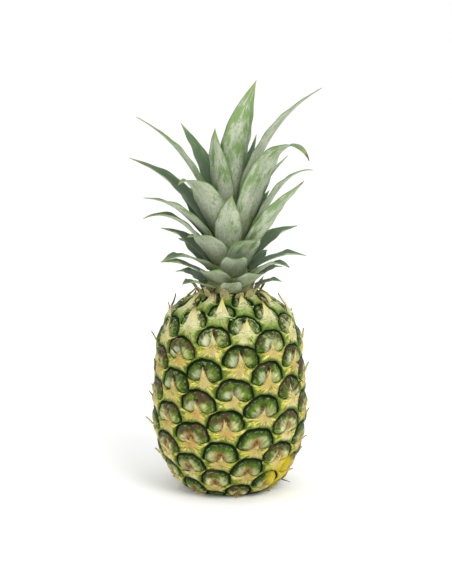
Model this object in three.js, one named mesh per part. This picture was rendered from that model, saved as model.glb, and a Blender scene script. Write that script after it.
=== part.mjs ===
// A fresh pineapple standing upright: the fruit, with its rind of eyes and bract spines and the cut end
// of its stalk underneath, and on top the crown, a short stem that carries leaves in a spiral.
//
// Millimetres, +Z up. The origin is the centre of the flat spot that the fruit stands on.
// Angles round the axis are in degrees from -Y, growing towards +X.

import * as THREE from "three";

// ---- Driving dimensions -------------------------------------------------------------------------

const FRUIT_HEIGHT = 149.6; // from the standing face to the neck under the crown
const FRUIT_RADIUS = 58; // at the widest place, over the eyes

// The meridian of the rind over the tops of the eyes, as [share of the radius, height].
const MERIDIAN = [
  [0.507, 0],
  [0.62, 3],
  [0.719, 8],
  [0.807, 16],
  [0.905, 28],
  [0.978, 45],
  [1, 65],
  [0.971, 90],
  [0.935, 112],
  [0.86, 126],
  [0.755, 136],
  [0.588, 143],
  [0.412, 148],
  [0.352, FRUIT_HEIGHT],
];

// The eyes stand in leaning columns; each column is lower than the one on its left by EYE_STAGGER.
const EYE_COLUMNS = 14;
const EYE_PITCH = 24; // along the meridian, from an eye to the next one in its column
const EYE_STAGGER = 4 / 7; // of the pitch
const COLUMN_LEAN = 0.2244; // degrees round the axis for each millimetre up the meridian
const FIRST_EYE_ANGLE = 8.5;
const FIRST_EYE_ARC = 119.6; // along the meridian, from the foot
const STEPS_ROUND_EYE = 6; // faces across an eye
const STEPS_UP_EYE = 7; // faces up an eye: a multiple of 7, so that every column samples its eyes alike
const RELIEF_FADE = { foot: 9, neck: 8 }; // the rind runs out smooth towards its two ends over these

// An eye, in its own widths and heights from its middle.
const EYE_TOP = 0.43; // up to the groove over it
const EYE_BOTTOM = 0.56; // down to the foot of its bract
const HEXAGON_WAVE = 0.16; // how far its sides bulge into the waists between its neighbours
const GROOVE_DEPTH = 3;
const GROOVE_SHARPNESS = 3.5;
const BRACT = { lift: 1.4, halfWidth: 0.28, from: -0.5, full: -0.22, fading: -0.1, gone: 0.2 };

// The free spine in which a bract ends; the spines are short on the body and long on the shoulder.
const SPINE_ROOT = 1 / 7; // over the middle of the eye, in heights of an eye
const SPINE_RISE = 30; // off the rind
const SPINE_LIFT = 0.6; // of its root
const SPINE_LENGTH = { body: 4.5, shoulder: 11 };
const SHOULDER = { from: 105, to: 140 }; // along the meridian
const SPINELESS_FOOT = { from: 8, to: 50 };
const SPINELESS_NECK = { from: -4, to: 16 }; // from the neck downwards

const STALK_RADIUS = 12; // the cut stalk in the middle of the foot
const STALK_RING = 2.5; // width of the shallow ring round it
const STALK_RING_DEPTH = 2;

const GAP = 0.3; // left between pieces that touch

// The crown's stem, with the plug that roots it in the fruit.
const STEM_RADIUS = 18; // at its foot
const STEM_TAPER = 0.3; // less radius for each leaf
const STEM_PLUG = { radius: 11, depth: 8 };
const STEM_SIDES = 26;

const LEAVES = 52;
const LEAF_TURN = (-360 * 5) / 13; // from each leaf to the next, so that every 13th stands over the first
const FIRST_LEAF_ANGLE = 3;
const LEAF_WIDTH = { lowest: 16, full: 25, fullFrom: 20 }; // full from that leaf on
const LEAF_LEAN = { lowest: 62, highest: 5 }; // at the foot, from upright
const LEAF_DROOP = { lowest: 112, highest: 20 }; // at the tip, from upright
const LEAF_BEND = 1.3; // how late along its length a leaf bends over
const HEART = { from: 40, to: 47, shorter: 0.68, narrower: 0.45 }; // the young leaves in the middle
const LEAF_THICKNESS = { foot: 1.2, tip: 0.8, edge: 0.6 };
const LEAF_FOOT_WIDTH = 1.3; // at most, in distances from the stem's axis
const LEAF_BELLY = 0.35; // share of its length at which a leaf has its full width
const LEAF_POINT = 0.62; // share of its length over which it narrows to its tip
const LEAF_TIP_WIDTH = 0.9;
const LEAF_GUTTER = 0.62; // radius of its hollow upper face further out, in its widths
const LEAF_STATIONS = { spacing: 11, fewest: 4, most: 11 };

// ---- The rind ------------------------------------------------------------------------------------

const { lerp, clamp, smoothstep, degToRad: radians } = THREE.MathUtils;

const meridian = new THREE.SplineCurve(
  MERIDIAN.map(([share, z]) => new THREE.Vector2(share * FRUIT_RADIUS, z)),
);
const MERIDIAN_LENGTH = meridian.getLength();

// The point at an angle and a distance along the meridian, moved by climb up the rind and by lift off it.
function onRind(angle, arc, climb, lift) {
  const share = clamp(arc / MERIDIAN_LENGTH, 0, 1);
  const p = meridian.getPointAt(share);
  const up = meridian.getTangentAt(share);
  const r = p.x + up.x * climb + up.y * lift;
  const z = Math.max(0, p.y + up.y * climb - up.x * lift);
  return polar(r, angle, z);
}

function polar(r, angle, z) {
  return new THREE.Vector3(r * Math.sin(radians(angle)), -r * Math.cos(radians(angle)), z);
}

// The lift of an eye's surface at (u, v), measured from its middle in widths and heights of an eye:
// a dome with a groove along its sides and over it, and the root of its bract below.
function eyeRelief(u, v) {
  const border = Math.max(Math.abs(u) / 0.5, v > 0 ? v / EYE_TOP : -v / EYE_BOTTOM);
  const risen = smoothstep(v, BRACT.from, BRACT.full) * (1 - smoothstep(v, BRACT.fading, BRACT.gone));
  const bract = risen * Math.exp(-((u / BRACT.halfWidth) ** 2));
  return BRACT.lift * bract - GROOVE_DEPTH * border ** GROOVE_SHARPNESS;
}

// How far step is above the middle of the nearest eye of a column, in heights of an eye.
function aboveEye(column, step) {
  const v = step / STEPS_UP_EYE + column * EYE_STAGGER;
  return v - Math.round(v);
}

// How far the border to the left of a column bulges to the right, in widths of an eye.
function borderBulge(column, step) {
  const left = Math.cos(2 * Math.PI * aboveEye(column - 1, step));
  const right = Math.cos(2 * Math.PI * aboveEye(column, step));
  return (HEXAGON_WAVE * (left - right)) / 2;
}

// The share of the full relief at a distance along the meridian.
function reliefAt(arc) {
  return smoothstep(arc, 0, RELIEF_FADE.foot) * smoothstep(MERIDIAN_LENGTH - arc, 0, RELIEF_FADE.neck);
}

function spineLength(arc) {
  const full = lerp(SPINE_LENGTH.body, SPINE_LENGTH.shoulder, smoothstep(arc, SHOULDER.from, SHOULDER.to));
  const overFoot = smoothstep(arc, SPINELESS_FOOT.from, SPINELESS_FOOT.to);
  const underNeck = smoothstep(MERIDIAN_LENGTH - arc, SPINELESS_NECK.from, SPINELESS_NECK.to);
  return full * overFoot * underNeck * reliefAt(arc);
}

// A point of the rind: a step up the meridian, and a step across one of the columns of eyes.
function rindPoint(column, across, step) {
  const share = across / STEPS_ROUND_EYE;
  const v = aboveEye(column, step);
  const bulge = lerp(borderBulge(column, step), borderBulge(column + 1, step), share);
  const arc = FIRST_EYE_ARC + (step * EYE_PITCH) / STEPS_UP_EYE;
  const lean = COLUMN_LEAN * (arc - FIRST_EYE_ARC);
  const angle = FIRST_EYE_ANGLE + lean + (column + share - 0.5 + bulge) * (360 / EYE_COLUMNS);
  const relief = reliefAt(arc);
  const isSpine = across === STEPS_ROUND_EYE / 2 && Math.abs(v - SPINE_ROOT) < 0.01;
  if (!isSpine) return onRind(angle, arc, 0, relief * eyeRelief(share - 0.5, v));
  const length = spineLength(arc);
  const rise = radians(SPINE_RISE);
  return onRind(angle, arc, length * Math.cos(rise), SPINE_LIFT * relief + length * Math.sin(rise));
}

// The faces between neighbouring rings of n points each, numbered ring after ring.
function ringFaces(rings) {
  const n = rings[0].length;
  const faces = [];
  for (let low = 0; low < (rings.length - 1) * n; low += n)
    for (let i = 0; i < n; i++) {
      const here = low + i;
      const next = low + ((i + 1) % n);
      faces.push(here, next, next + n, here, next + n, here + n);
    }
  return faces;
}

// The faces from a point in the middle to the n points of a ring that begins at first.
function fanFaces(middle, first, n) {
  const faces = [];
  for (let i = 0; i < n; i++) faces.push(middle, first + i, first + ((i + 1) % n));
  return faces;
}

// The faces that close a flat ring of n points, each point joined to the one across from it.
function stripFaces(first, n) {
  const faces = [];
  for (let i = 0; i < n / 2 - 1; i++) {
    const here = first + i;
    const across = first + n - 1 - i;
    faces.push(here, here + 1, across - 1, here, across - 1, across);
  }
  return faces;
}

function facesToGeometry(points, faces) {
  const geometry = new THREE.BufferGeometry().setFromPoints(points);
  geometry.setIndex(faces);
  return geometry;
}

const circle = (radius, z, count) =>
  Array.from({ length: count }, (_, i) => polar(radius, (360 * i) / count, z));

function fruitGeometry() {
  const lowest = Math.ceil((-FIRST_EYE_ARC * STEPS_UP_EYE) / EYE_PITCH);
  const highest = Math.floor(((MERIDIAN_LENGTH - FIRST_EYE_ARC) * STEPS_UP_EYE) / EYE_PITCH);
  const rings = [];
  for (let step = lowest; step <= highest; step++) {
    const ring = [];
    for (let column = 0; column < EYE_COLUMNS; column++)
      for (let across = 0; across < STEPS_ROUND_EYE; across++) ring.push(rindPoint(column, across, step));
    rings.push(ring);
  }
  const count = rings[0].length;
  const socket = STEM_PLUG.radius + GAP;
  const socketFloor = FRUIT_HEIGHT - STEM_PLUG.depth - GAP;
  const foot = [
    circle(STALK_RADIUS, 0, count),
    circle(STALK_RADIUS + 0.2 * STALK_RING, STALK_RING_DEPTH, count),
    circle(STALK_RADIUS + STALK_RING, 0, count),
  ];
  const neck = [circle(socket, FRUIT_HEIGHT, count), circle(socket, socketFloor, count)];
  const all = [...foot, ...rings, ...neck];
  const ends = [polar(0, 0, 0), polar(0, 0, socketFloor)];
  const total = all.length * count;
  const underneath = fanFaces(total, 0, count).reverse();
  const faces = [...underneath, ...ringFaces(all), ...fanFaces(total + 1, total - count, count)];
  return facesToGeometry([...all.flat(), ...ends], faces);
}

// ---- The crown's leaves ---------------------------------------------------------------------------

// Leaf i, counted from the lowest, stands this high on the stem: they stand wider apart further up.
const leafHeight = (i) => 1 + 0.75 * i + 0.0085 * i * i;
const stemRadius = (i) => STEM_RADIUS - STEM_TAPER * i;

// The crown's stem from the top of the fruit, turned round its axis.
function crownStemGeometry() {
  const { radius, depth } = STEM_PLUG;
  const plug = [[0, -depth], [radius, -depth], [radius, GAP], [STEM_RADIUS, GAP]];
  const taper = [0, 13, 26, 39, LEAVES].map((i) => [stemRadius(i), leafHeight(i) + GAP]);
  const top = taper.at(-1)[1];
  const points = [...plug, ...taper, [0, top]].map(([r, z]) => new THREE.Vector2(r, z));
  return new THREE.LatheGeometry(points, STEM_SIDES).rotateX(Math.PI / 2);
}

// The rule for the shape of leaf i.
function leafRule(i) {
  const down = 1 - i / (LEAVES - 1);
  const heart = smoothstep(i, HEART.from, HEART.to);
  return {
    turn: 0, // round the stem, beside the spiral
    length: (20 + 1.7 * i + 0.012 * i * i) * (1 - HEART.shorter * heart),
    width:
      lerp(LEAF_WIDTH.lowest, LEAF_WIDTH.full, smoothstep(i, 0, LEAF_WIDTH.fullFrom)) *
      (1 - HEART.narrower * heart),
    lean: lerp(LEAF_LEAN.highest, LEAF_LEAN.lowest, down ** 1.1),
    droop: lerp(LEAF_DROOP.highest, LEAF_DROOP.lowest, down ** 0.8),
    bend: LEAF_BEND,
    sway: 0, // bent in its own plane, to the right seen from outside, at the tip
  };
}

// What single leaves do beside the rule.
const LEAF_CHANGES = {
  0: { lean: 45, droop: 80 },
  2: { lean: 57, length: 21 },
  3: { lean: 58, turn: -4, length: 24, width: 20 },
  5: { lean: 48, droop: 90, length: 31, width: 20 },
  6: { lean: 58, length: 26 },
  7: { length: 28 },
  8: { lean: 48, droop: 90, length: 30, width: 22 },
  10: { droop: 125, bend: 2.2, length: 39 },
  11: { lean: 54, length: 38 },
  12: { length: 34 },
  13: { lean: 38, droop: 95, length: 38, width: 20, turn: 4 },
  15: { lean: 52, droop: 105, length: 45 },
  16: { lean: 48, droop: 115, length: 46, turn: -7 },
  18: { lean: 30, droop: 82, length: 44, turn: -5 },
  19: { width: 19, length: 49 },
  20: { lean: 42, droop: 82, length: 50 },
  21: { lean: 36, droop: 95, bend: 1.6, length: 49, turn: -8, sway: -8 },
  23: { lean: 34, droop: 50, length: 83, turn: -6 },
  24: { lean: 36, droop: 122, bend: 2.4, length: 66 },
  25: { length: 48 },
  26: { lean: 26, droop: 34, length: 56, width: 21, turn: -6, sway: 12 },
  28: { lean: 27, droop: 102, bend: 4.5, length: 84, turn: -8 },
  29: { lean: 38, droop: 88, bend: 2, length: 74, turn: -12 },
  30: { droop: 92, length: 76 },
  31: { lean: 24, droop: 165, bend: 4.2, length: 122, turn: 8, sway: 6 },
  32: { lean: 28, droop: 75, length: 95 },
  33: { lean: 25, droop: 40, length: 44 },
  34: { lean: 29, droop: 130, bend: 4, length: 76, turn: -13, width: 29 },
  35: { lean: 22, droop: 85, length: 68 },
  36: { lean: 18, droop: 46, length: 72, turn: 14 },
  37: { lean: 15, droop: 62, bend: 1.4, length: 110 },
  38: { lean: 23, droop: 74, length: 60, turn: 6, width: 20 },
  39: { lean: 13, droop: 15, length: 30, width: 18 },
  40: { lean: 16, droop: 42, length: 46, turn: -5, width: 21 },
  41: { lean: 11, droop: 62, bend: 1.5, length: 126, turn: -15 },
  42: { lean: 12, droop: 3, length: 74, turn: 5, sway: 8, width: 27 },
  43: { lean: 20, droop: 36, length: 56, turn: -8, width: 14 },
  44: { lean: 5, droop: 9, length: 107, turn: -14, sway: 24, width: 27 },
  45: { lean: 24, droop: 45, length: 82, turn: -26, width: 18 },
  46: { lean: 17, droop: 17, length: 63, turn: 11, width: 14 },
  47: { lean: 3, droop: 3, length: 38, turn: -8, width: 10 },
  48: { lean: 11, droop: 28, length: 48, width: 12 },
  49: { lean: 3, droop: 5, length: 40, turn: -4, width: 9 },
  50: { lean: 2, droop: 3, length: 38, turn: -6, width: 8 },
  51: { lean: 1, droop: 5, length: 36, turn: 10, width: 8 },
};

function leafShape(i) {
  const shape = { ...leafRule(i), ...(LEAF_CHANGES[i] ?? {}) };
  shape.angle = FIRST_LEAF_ANGLE + i * LEAF_TURN + shape.turn;
  shape.foot = stemRadius(i) + 3 * GAP + LEAF_THICKNESS.foot / 2;
  shape.z = FRUIT_HEIGHT + GAP + leafHeight(i);
  return shape;
}

// The middle line of a leaf: points with the directions along it, across it and out of its upper face.
function leafSpine(shape, stations) {
  const spine = [];
  const p = polar(shape.foot, shape.angle, shape.z);
  const substeps = 8;
  const step = shape.length / (stations * substeps);
  for (let k = 0; k <= stations * substeps; k++) {
    const t = k / (stations * substeps);
    const tilt = radians(lerp(shape.lean, shape.droop, t ** shape.bend));
    const out = polar(1, shape.angle, 0);
    const level = new THREE.Vector3(-out.y, out.x, 0);
    const rising = out.clone().multiplyScalar(Math.sin(tilt)).setZ(Math.cos(tilt));
    const up = new THREE.Vector3().crossVectors(rising, level);
    const swing = radians(shape.sway * t * t);
    const along = rising.clone().applyAxisAngle(up, swing);
    const across = level.clone().applyAxisAngle(up, swing);
    if (k % substeps === 0) spine.push({ t, tilt, point: p.clone(), across, up });
    p.addScaledVector(along, step);
  }
  return spine;
}

// Half the width of a leaf at share t of its length: a clasping foot, a broad blade and a drawn-out tip.
function halfWidth(shape, t) {
  const foot = Math.min(shape.width, LEAF_FOOT_WIDTH * shape.foot);
  const body = lerp(foot, shape.width, smoothstep(t, 0, LEAF_BELLY));
  const tip = Math.min(1, (1 - t) / LEAF_POINT);
  return Math.max(LEAF_TIP_WIDTH, body * (1 - (1 - tip) ** 2) ** 1.15) / 2;
}

const SECTION = [1, 0.45, -0.45, -1]; // the corners across a leaf, in half widths

// One ring of points round the leaf at a station: its upper face from side to side, then back below.
// Near the foot the leaf follows a cone round the stem, so that the leaves nest in one another.
function leafSection(shape, { t, tilt, point, across, up }) {
  const half = halfWidth(shape, t);
  const cone = Math.hypot(point.x, point.y) / Math.max(0.15, Math.cos(tilt));
  const hollow = Math.min(cone, LEAF_GUTTER * shape.width);
  const gutter = lerp(cone, hollow, smoothstep(t, 0.25, 0.7));
  const middle = lerp(LEAF_THICKNESS.foot, LEAF_THICKNESS.tip, t);
  const corner = (q, side) => {
    const turn = (q * half) / gutter;
    const r = gutter - (side * lerp(middle, LEAF_THICKNESS.edge, Math.abs(q) ** 1.5)) / 2;
    return point
      .clone()
      .addScaledVector(across, r * Math.sin(turn))
      .addScaledVector(up, gutter - r * Math.cos(turn));
  };
  return [...SECTION.map((q) => corner(q, 1)), ...SECTION.toReversed().map((q) => corner(q, -1))];
}

function leafGeometry(shape) {
  const { spacing, fewest, most } = LEAF_STATIONS;
  const stations = Math.round(clamp(shape.length / spacing, fewest, most));
  const rings = leafSpine(shape, stations).map((station) => leafSection(shape, station));
  const n = rings[0].length;
  const faces = [...stripFaces(0, n).reverse(), ...ringFaces(rings), ...stripFaces(stations * n, n)];
  return facesToGeometry(rings.flat(), faces);
}

// ---- Assembly ---------------------------------------------------------------------------------------

const pineapple = new THREE.Group();

function addPiece(name, geometry, color, roughness) {
  const material = new THREE.MeshStandardMaterial({ color, roughness, metalness: 0 });
  const mesh = new THREE.Mesh(geometry, material);
  mesh.name = name;
  pineapple.add(mesh);
  return mesh;
}

addPiece("fruit", fruitGeometry(), 0x5b7a2e, 0.55);
addPiece("crown_stem", crownStemGeometry(), 0xb9bf8a, 0.8).position.z = FRUIT_HEIGHT;

for (let i = 0; i < LEAVES; i++) {
  const name = `leaf_${String(i + 1).padStart(2, "0")}`;
  addPiece(name, leafGeometry(leafShape(i)), 0x8fa586, 0.6);
}

export default pineapple;
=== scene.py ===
"""A fresh pineapple, modelled around its CAD frame: the rind with its eyes and the spines of their
bracts, the crown with its leaves and the dry scales under them, and a studio stage.

Metres, +Z up. Angles round the axis are in degrees from -Y, growing towards +X, and distances up
the rind are measured along its meridian from the rim of the foot. An eye's own measures are in its
widths and heights from its middle.
"""

import math
from collections import namedtuple
from functools import partialmethod

import bpy
import numpy as np
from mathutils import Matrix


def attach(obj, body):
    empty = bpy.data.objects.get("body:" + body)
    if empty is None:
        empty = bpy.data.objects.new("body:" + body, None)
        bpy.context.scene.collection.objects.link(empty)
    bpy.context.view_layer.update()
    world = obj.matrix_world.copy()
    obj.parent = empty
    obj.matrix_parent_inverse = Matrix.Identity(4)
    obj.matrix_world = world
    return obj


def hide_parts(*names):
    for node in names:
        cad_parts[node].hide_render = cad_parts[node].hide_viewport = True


bl_info = {
    "name": "Pineapple",
    "version": (1, 0, 0),
    "blender": (4, 5, 0),
    "location": "3D View > Sidebar > Pineapple",
    "description": "Models a fresh pineapple with its crown on a studio stage",
    "category": "Add Mesh",
}

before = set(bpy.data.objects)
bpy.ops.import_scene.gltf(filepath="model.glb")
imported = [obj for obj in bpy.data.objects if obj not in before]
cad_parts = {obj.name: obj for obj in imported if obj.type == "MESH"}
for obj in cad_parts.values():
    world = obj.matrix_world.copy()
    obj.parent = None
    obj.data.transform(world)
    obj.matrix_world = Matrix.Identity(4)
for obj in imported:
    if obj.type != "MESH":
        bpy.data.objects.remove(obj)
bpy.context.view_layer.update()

# ---- The rind's dimensions -----------------------------------------------

FRUIT_HEIGHT = 0.1496
FRUIT_RADIUS = 0.058

# The meridian over the tops of the eyes, as (share of the radius, height).
MERIDIAN = (
    (0.507, 0), (0.62, 0.003), (0.719, 0.008), (0.807, 0.016), (0.905, 0.028), (0.978, 0.045),
    (1, 0.065), (0.971, 0.09), (0.935, 0.112), (0.86, 0.126), (0.755, 0.136), (0.588, 0.143),
    (0.412, 0.148), (0.352, FRUIT_HEIGHT),
)
# The underside, from the middle of the cut stalk over the ring round it, as (radius, height).
FOOT = ((0, 0), (0.006, 0), (0.0114, 0), (0.012, 0.0002), (0.0123, 0.0014), (0.0132, 0.002),
        (0.0142, 0.0014), (0.0145, 0), (0.018, 0), (0.022, 0), (0.026, 0))
# The socket under the crown, as (radius, height).
NECK = ((0.0155, FRUIT_HEIGHT), (0.0113, FRUIT_HEIGHT), (0.0113, 0.1413), (0, 0.1413))

EYE_COLUMNS = 14
EYE_ANGLE = 360 / EYE_COLUMNS
EYE_PITCH = 0.024  # along the meridian, from an eye to the next one in its column
EYE_STAGGER = 4 / 7  # of the pitch, from a column down to the next one on its right
COLUMN_LEAN = 224.4  # degrees round the axis for each metre up the meridian
FIRST_EYE_ANGLE = 8.5
FIRST_EYE_ARC = 0.1196
LEAN_OF_EYE = COLUMN_LEAN * EYE_PITCH / EYE_ANGLE
FACES_ACROSS_EYE = 26
FACES_UP_EYE = 35  # a multiple of 7, so that every column samples its eyes alike
BORDER_WAVE = 0.16  # how far the columns' borders swing, in widths of an eye
RELIEF_FADE = {"foot": 0.009, "neck": 0.008}

# The outline of an eye's dome: an arch over a flatter underside.
DOME_HALF_WIDTH = 0.54
DOME_MIDDLE = -0.12
DOME_ABOVE = {"height": 0.485, "power": 2.3}
DOME_BELOW = {"height": 0.185, "power": 2.8}
WOBBLE = ((3, 0.00025), (5, 0.0003), (11, 0.0002))  # waves round a dome's outline, and their height
DOME_SLOPE = {"width": 0.0065, "power": 2.4}  # from the rim to the full rise
PLATEAU = {"drop": (0.45, 0.8), "reach": 0.0012}  # between the domes, in shares of their rise
# Bumps in an eye, as (u, v) of the middle and half widths both ways.
LOBE = (0.26, -0.08, 0.14, 0.15)
LOBE_HOLLOW = (0, 0.06, 0.07, 0.13)
LOBE_RISE = 0.4  # in shares of the dome's
HOLLOW_DEPTH = 0.6
LOBES_INSIDE = 0.003  # from the rim to where the lobes have their full height

GROOVE_FROM = (-0.27, -0.15)  # up the dome's side, from its narrow part to its wide part
GROOVE_FLAT = 0.35  # share of its width
GROOVE_OWN = 0.4  # share of its width that belongs to the eye inside it
GROOVE_INSIDE = 0.0008  # how far it reaches into the dome
SEAM_WIDTH = 0.0006
# A bract's mound: where it rises and falls again, and how wide it is while it narrows.
BRACT = {"rise": (-0.6, -0.3), "fall": (-0.15, 0.1), "width": (0.35, 0.12), "narrowing": (-0.35, 0)}
BRACT_RIM = (-0.0004, 0.0008)  # distances from the dome between which the mound begins
BRACT_MIDDLE = -0.15  # where an eye's own bract is nearest
SPINE_FOOT = -0.34  # where a spine is as wide as its bract allows
SPINE_FLARE = {"half_width": (0.21, 0.5), "power": (1.6, 1.25)}  # on the body and on the shoulder
SPINE_ROUNDING = 0.003  # where its outline meets the dome's
LOW_SPINES = 0.65  # length of the lowest, in shares of the usual
SHOULDER = (0.134, 0.15)  # up the rind
LOW_EYES = (0.02, 0.1)
MILLIMETRE = 0.001

# Where the rind's colours change: pairs of heights, or of distances, between which they do.
DRY_FROM = (0.095, 0.03)  # downwards, drier eyes
BLOOM_AND_HIGHLIGHT_FROM = (0.07, 0.11)  # upwards, eyes with more bloom and painted highlight on their lobes
PALE_FROM = (0.112, 0.134)  # upwards, paler bracts and dustier eyes
RIPE_PATCH = {"middle": (0.037, -0.027, 0.019), "edge": (0.027, 0.017)}
STALK_EDGE = (0.0125, 0.0118)
STALK_UNDER = (0.004, 0.002)
# Places in an eye: ellipses, as the (u, v) of their middle and of their radii.
SPINE_ROOT = (0, -0.3)
# Where an eye's lobes are pale, with waxy bloom and painted highlight.
BLOOM_AND_HIGHLIGHT_LOBE = ((0.16, -0.09), (0.2, 0.19))
DRY_HOLLOW = ((0, -0.07), (0.23, 0.21))
TORN_ROOT = ((0, -0.18), (0.15, 0.3))
WARM_ROOT = (SPINE_ROOT, (0.2, 0.15))
PLAIN_ROOT = (SPINE_ROOT, (0.2, 0.2))
# Noise on the rind, as its scale for each metre, its detail and its roughness.
COARSE = (110, 4, 0.6)
PATCHES = (190, 4, 0.65)
MOTTLES = (420, 4, 0.7)
FINE = (700, 3, 0.6)

# What differs from eye to eye, each random between two values. Shift is in widths of an eye, rise
# is downwards in its heights, and tilt is how far it leans aside for each of its heights.
TRAITS = {
    "tone": (0, 1),
    "shift": (-0.03, 0.03),
    "rise": (-0.035, 0.035),
    "width": (0.96, 1.03),
    "height": (0.95, 1.04),
    "tilt": (-0.1, 0.1),
    "lobes": (0.4, 1.3),
    "spine": (0.72, 1.28),
    "bend": (0, 1),
    "dryness": (0, 1),
}
LOWEST_LEVEL = -9
LEVELS = 24
SEED = 11
TRAIT_VALUES = np.random.default_rng(SEED).random((EYE_COLUMNS, LEVELS, len(TRAITS)))

# ---- The crown's dimensions ----------------------------------------------

LEAVES = 52
LEAF_TURN = -360 * 5 / 13  # from each leaf to the next one up
FIRST_LEAF_ANGLE = 3
# Measures of leaf i, counted from the lowest, as the factors in a + b i + c i i.
LEAF_FOOT_RADIUS = (0.0195, -0.0003, 0)
LEAF_FOOT_HEIGHT = (FRUIT_HEIGHT + 0.0013, 0.00075, 0.0000085)
LEAF_LENGTH = (20, 1.7, 0.012)  # millimetres
# Degrees at the top and at the bottom of the crown, and the power by which they change between.
LEAF_LEAN = (5, 62, 1.1)
LEAF_DROOP = (20, 112, 0.8)
LEAF_BEND = 1.3
LEAF_WIDTH = {"lowest": 16, "others": 25, "from": (0, 20)}
HEART = {"from": (40, 47), "shorter": 0.68, "narrower": 0.45}  # the crown's innermost leaves
LEAF_STATIONS = {"spacing": 0.011, "fewest": 4, "most": 11, "substeps": 8}
# Along a leaf, in shares of its length.
LEAF_BROAD = (0, 0.35)
LEAF_TAPER = {"length": 0.62, "power": 1.15}
LEAF_FOOT_WIDTH = 1.3  # at most, in radii of the circle that its foot is on
LEAF_TIP_WIDTH = 0.0004
GUTTER = {"radius": 0.62, "from": (0.25, 0.7)}  # in widths of the leaf
RIPPLE = {"length": 0.017, "rise": (0.2, 0.5), "fall": (0, 0.3), "power": 3}
LEAF_END = {"past_tip": 1.04, "length": 0.08}  # where a leaf thins out
LEAST_COSINE = 0.15  # of the tilt, for the cone that a leaf's foot is rolled round

SCALES = 14
SCALE_FACES = (6, 8)
# What differs from scale to scale, each random between two values; the wider stand further out.
SCALE_RULE = {
    "lean": (15, 40),
    "droop": (30, 80),
    "sway": (-25, 25),
    "length": (0.008, 0.014),
    "width": (0.004, 0.007),
}
SCALE_FOOT = (0.0205, 0.0225)
SCALE_BEND = 1.6
SCALE_DEPTH = 0.003  # of its foot under the fruit's top
SCALE_SCATTER = 0.8  # of the way to the next one
RUBBED = 0.25  # how often a leaf's bloom is rubbed off, except for these
RUBBED_LEAVES = {44: 0.8, 42: 0.6, 31: 0.65, 26: 0.5, 23: 0.85, 18: 0.7, 34: 0.4, 37: 0.6, 28: 0.5}
DRIED_TIPS = (10, 11, 20, 23, 31)
LEAF_FACES = (12, 44)  # across and along

# What single leaves do beside the rule: degrees, and millimetres for the length and the width.
LEAF_CHANGES = {
    0: dict(lean=45, droop=80),
    2: dict(lean=57, length=21),
    3: dict(lean=58, turn=-4, length=24, width=20),
    5: dict(lean=48, droop=90, length=31, width=20),
    6: dict(lean=58, length=26),
    7: dict(length=28),
    8: dict(lean=48, droop=90, length=30, width=22),
    10: dict(droop=125, bend=2.2, length=39),
    11: dict(lean=54, length=38),
    12: dict(length=34),
    13: dict(lean=38, droop=95, length=38, width=20, turn=4),
    15: dict(lean=52, droop=105, length=45),
    16: dict(lean=48, droop=115, length=46, turn=-7),
    18: dict(lean=30, droop=82, length=44, turn=-5),
    19: dict(width=19, length=49),
    20: dict(lean=42, droop=82, length=50),
    21: dict(lean=36, droop=95, bend=1.6, length=49, turn=-8, sway=-8),
    23: dict(lean=34, droop=50, length=83, turn=-6),
    24: dict(lean=36, droop=122, bend=2.4, length=66),
    25: dict(length=48),
    26: dict(lean=26, droop=34, length=56, width=21, turn=-6, sway=12),
    28: dict(lean=27, droop=102, bend=4.5, length=84, turn=-8),
    29: dict(lean=38, droop=88, bend=2, length=74, turn=-12),
    30: dict(droop=92, length=76),
    31: dict(lean=24, droop=165, bend=4.2, length=122, turn=8, sway=6),
    32: dict(lean=28, droop=75, length=95),
    33: dict(lean=25, droop=40, length=44),
    34: dict(lean=29, droop=130, bend=4, length=76, turn=-13, width=29),
    35: dict(lean=22, droop=85, length=68),
    36: dict(lean=18, droop=46, length=72, turn=14),
    37: dict(lean=15, droop=62, bend=1.4, length=110),
    38: dict(lean=23, droop=74, length=60, turn=6, width=20),
    39: dict(lean=13, droop=15, length=30, width=18),
    40: dict(lean=16, droop=42, length=46, turn=-5, width=21),
    41: dict(lean=11, droop=62, bend=1.5, length=126, turn=-15),
    42: dict(lean=12, droop=3, length=74, turn=5, sway=8, width=27),
    43: dict(lean=20, droop=36, length=56, turn=-8, width=14),
    44: dict(lean=5, droop=9, length=107, turn=-14, sway=24, width=27),
    45: dict(lean=24, droop=45, length=82, turn=-26, width=18),
    46: dict(lean=17, droop=17, length=63, turn=11, width=14),
    47: dict(lean=3, droop=3, length=38, turn=-8, width=10),
    48: dict(lean=11, droop=28, length=48, width=12),
    49: dict(lean=3, droop=5, length=40, turn=-4, width=9),
    50: dict(lean=2, droop=3, length=38, turn=-6, width=8),
    51: dict(lean=1, droop=5, length=36, turn=10, width=8),
}


# ---- What a user may change ----------------------------------------------


def paint(red, green, blue):
    """A display colour, 0 to 255, in Blender's linear values."""
    shares = (value / 255 for value in (red, green, blue))
    return tuple(s / 12.92 if s <= 0.04045 else ((s + 0.055) / 1.055) ** 2.4 for s in shares)


def colour(name, description, red, green, blue):
    return bpy.props.FloatVectorProperty(
        name=name, description=description, subtype="COLOR", size=3, min=0, max=1,
        default=paint(red, green, blue),
    )


def size(name, description, default):
    return bpy.props.FloatProperty(
        name=name, description=description, unit="LENGTH", subtype="DISTANCE", precision=5,
        min=0, default=default,
    )


def amount(name, description, default, unit="NONE"):
    return bpy.props.FloatProperty(
        name=name, description=description, unit=unit, min=0, default=default
    )


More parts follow.
